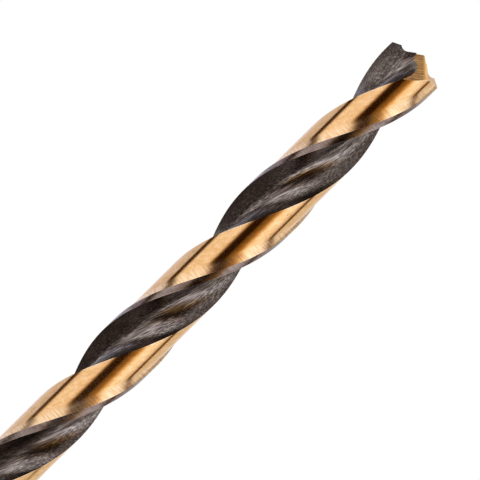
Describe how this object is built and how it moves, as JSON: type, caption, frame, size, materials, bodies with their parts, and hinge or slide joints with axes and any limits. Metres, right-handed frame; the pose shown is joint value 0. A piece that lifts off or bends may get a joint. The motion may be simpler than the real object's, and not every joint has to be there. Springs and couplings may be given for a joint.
{
  "type": "twist drill bit",
  "caption": "Fluted bit for drilling metal: right-hand helical flutes, relieved lands with narrow margins, a formed split point and a plain round shank.",
  "frame": {"origin": "centre of the flat shank end, on the drill's axis", "axes": "+Z along the drill's axis from the shank end to the point, X through the two outer corners of the point"},
  "size_m": [0.0064, 0.0064, 0.1016],
  "materials": {
    "tool_steel": "high-speed steel with black oxide flutes and margins and satin bronze lands and point"
  },
  "bodies": {
    "root": {"twist_drill": "tool_steel"}
  },
  "joints": []
}
